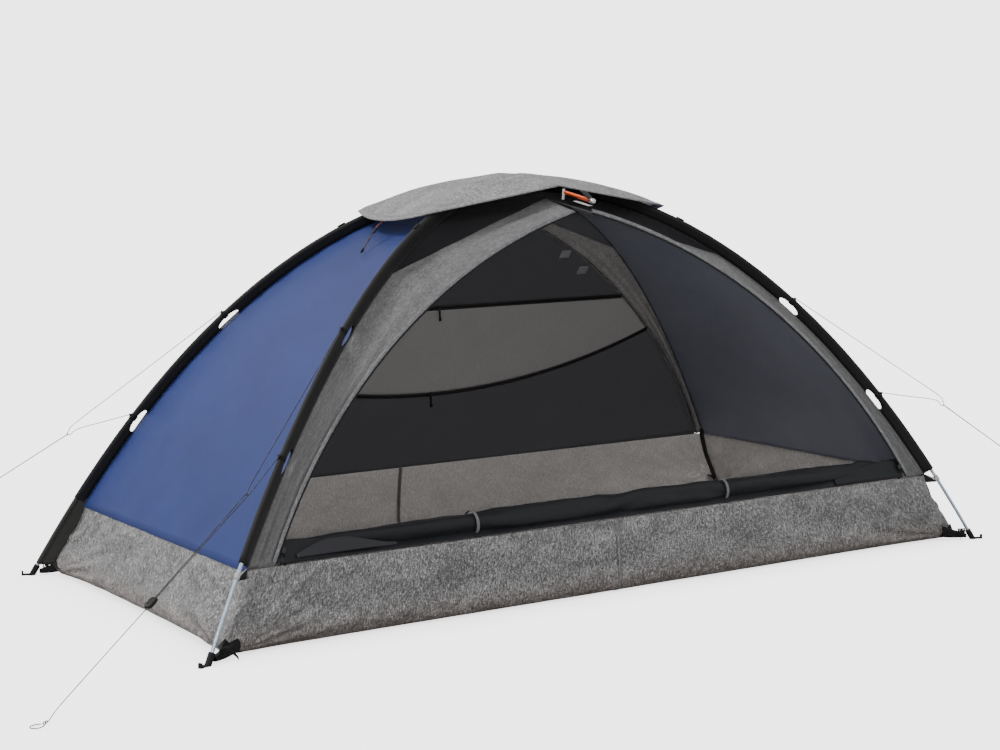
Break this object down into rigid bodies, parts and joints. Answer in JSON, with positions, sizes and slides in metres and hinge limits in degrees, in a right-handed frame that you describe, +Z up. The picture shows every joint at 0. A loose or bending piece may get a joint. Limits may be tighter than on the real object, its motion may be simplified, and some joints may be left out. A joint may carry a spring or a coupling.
{
  "type": "two-person dome tent",
  "caption": "Pitched single-wall dome tent with crossed arched poles in sleeves, a rolled-down arched door, bathtub floor, roof cap and corner guylines.",
  "frame": {"origin": "centre of the floor's underside, on the ground, under the crossing of the poles", "axes": "+X along the sleeping length, towards the right end seen from the door; +Y from the front door to the rear door; +Z up"},
  "size_m": [3.1877, 1.5578, 1.0252],
  "materials": {
    "pole_alloy": "satin, bluish anodised tube",
    "black_plastic": "moulded acetal",
    "black_nylon": "woven nylon, matte",
    "blue_laminate": "coated ripstop, slight sheen",
    "grey_laminate": "fibre-backed laminate, crinkled and slightly shiny",
    "floor_laminate": "coated laminate, crinkled and slightly shiny",
    "insect_mesh": "fine black netting",
    "strap_webbing": "woven webbing",
    "tie_elastic": "light grey elastic",
    "guy_cord": "braided cord with a light fleck",
    "zip_metal": "black coated slider",
    "orange_tube": "orange strut tube"
  },
  "bodies": {
    "tent": {"pole_a_segment_1": "pole_alloy", "pole_a_segment_2": "pole_alloy", "pole_a_segment_3": "pole_alloy", "pole_a_segment_4": "pole_alloy", "pole_a_segment_5": "pole_alloy", "pole_b_segment_1": "pole_alloy", "pole_b_segment_2": "pole_alloy", "pole_b_segment_3": "pole_alloy", "pole_b_segment_4": "pole_alloy", "pole_b_segment_5": "pole_alloy", "pole_foot_fl": "black_plastic", "pole_foot_fr": "black_plastic", "pole_foot_bl": "black_plastic", "pole_foot_br": "black_plastic", "sleeve_fl": "black_nylon", "sleeve_fr": "black_nylon", "sleeve_bl": "black_nylon", "sleeve_br": "black_nylon", "end_panel_left": "blue_laminate", "end_panel_right": "blue_laminate", "front_band_left": "grey_laminate", "front_band_right": "grey_laminate", "rear_band_left": "grey_laminate", "rear_band_right": "grey_laminate", "front_vent_panel": "insect_mesh", "rear_vent_panel": "insect_mesh", "rear_lower_panel": "black_nylon", "rear_arch_panel": "grey_laminate", "rear_window_mesh": "insect_mesh", "bathtub_floor": "floor_laminate", "roof_cap": "grey_laminate", "door_roll": "black_nylon", "door_tie_left": "tie_elastic", "door_tie_right": "tie_elastic", "corner_strap_fl": "strap_webbing", "corner_strap_fr": "strap_webbing", "corner_strap_bl": "strap_webbing", "corner_strap_br": "strap_webbing", "guyline_fl": "guy_cord", "bridle_fl": "guy_cord", "guyline_fr": "guy_cord", "bridle_fr": "guy_cord", "guyline_bl": "guy_cord", "bridle_bl": "guy_cord", "guyline_br": "guy_cord", "bridle_br": "guy_cord"},
    "left_door_slider": {"door_slider_left": "zip_metal"},
    "right_door_slider": {"door_slider_right": "zip_metal"},
    "rear_door_slider": {"rear_zip_slider": "zip_metal"},
    "window_zip_slider": {"window_slider": "zip_metal"},
    "front_strut": {"vent_strut_front": "orange_tube"},
    "rear_strut": {"vent_strut_rear": "orange_tube"},
    "lock_fl": {"ladder_lock_fl": "black_plastic"},
    "line_tensioner_fl": {"tensioner_fl": "black_plastic"},
    "lock_fr": {"ladder_lock_fr": "black_plastic"},
    "line_tensioner_fr": {"tensioner_fr": "black_plastic"},
    "lock_bl": {"ladder_lock_bl": "black_plastic"},
    "line_tensioner_bl": {"tensioner_bl": "black_plastic"},
    "lock_br": {"ladder_lock_br": "black_plastic"},
    "line_tensioner_br": {"tensioner_br": "black_plastic"}
  },
  "joints": [
    {"name": "door_zip_right", "type": "hinge", "parent": "tent", "child": "right_door_slider", "pos_m": [-0.364, -0.63432, -0.45713], "axis": [0, -0.9752, 0.2214], "range_deg": [0, 45.5]},
    {"name": "door_zip_left", "type": "hinge", "parent": "tent", "child": "left_door_slider", "pos_m": [0.364, -0.63432, -0.45713], "axis": [0, 0.9752, -0.2214], "range_deg": [0, 45.5]},
    {"name": "rear_door_zip", "type": "hinge", "parent": "tent", "child": "rear_door_slider", "pos_m": [0, 0.00967, 2.29462], "axis": [0, 0.9752, 0.2214], "range_deg": [-21, 21]},
    {"name": "window_zip", "type": "slide", "parent": "tent", "child": "window_zip_slider", "axis": [1, 0, 0], "range_m": [-0.52, 0.52]},
    {"name": "front_strut_swing", "type": "hinge", "parent": "tent", "child": "front_strut", "pos_m": [0, -0.245, 0.978], "axis": [0, -0.1601, 0.9871], "range_deg": [-70, 70]},
    {"name": "rear_strut_swing", "type": "hinge", "parent": "tent", "child": "rear_strut", "pos_m": [0, 0.245, 0.983], "axis": [0, 0.1601, 0.9871], "range_deg": [-70, 70]},
    {"name": "lock_tilt_fl", "type": "hinge", "parent": "tent", "child": "lock_fl", "pos_m": [-1.11119, -0.54138, 0.032], "axis": [-0.903, -0.4295, 0], "range_deg": [0, 35]},
    {"name": "lock_tilt_fr", "type": "hinge", "parent": "tent", "child": "lock_fr", "pos_m": [1.11119, -0.54138, 0.032], "axis": [-0.903, 0.4295, 0], "range_deg": [0, 35]},
    {"name": "lock_tilt_bl", "type": "hinge", "parent": "tent", "child": "lock_bl", "pos_m": [-1.11119, 0.54138, 0.032], "axis": [0.903, -0.4295, 0], "range_deg": [0, 35]},
    {"name": "lock_tilt_br", "type": "hinge", "parent": "tent", "child": "lock_br", "pos_m": [1.11119, 0.54138, 0.032], "axis": [0.903, 0.4295, 0], "range_deg": [0, 35]},
    {"name": "tension_fl", "type": "slide", "parent": "tent", "child": "line_tensioner_fl", "axis": [-0.7923, -0.3769, -0.4798], "range_m": [-0.23, 0.293]},
    {"name": "tension_fr", "type": "slide", "parent": "tent", "child": "line_tensioner_fr", "axis": [0.7298, -0.3471, -0.5889], "range_m": [-0.23, 0.208]},
    {"name": "tension_bl", "type": "slide", "parent": "tent", "child": "line_tensioner_bl", "axis": [-0.7687, 0.3657, -0.5247], "range_m": [-0.23, 0.267]},
    {"name": "tension_br", "type": "slide", "parent": "tent", "child": "line_tensioner_br", "axis": [0.7319, 0.3481, -0.5858], "range_m": [-0.23, 0.186]}
  ]
}
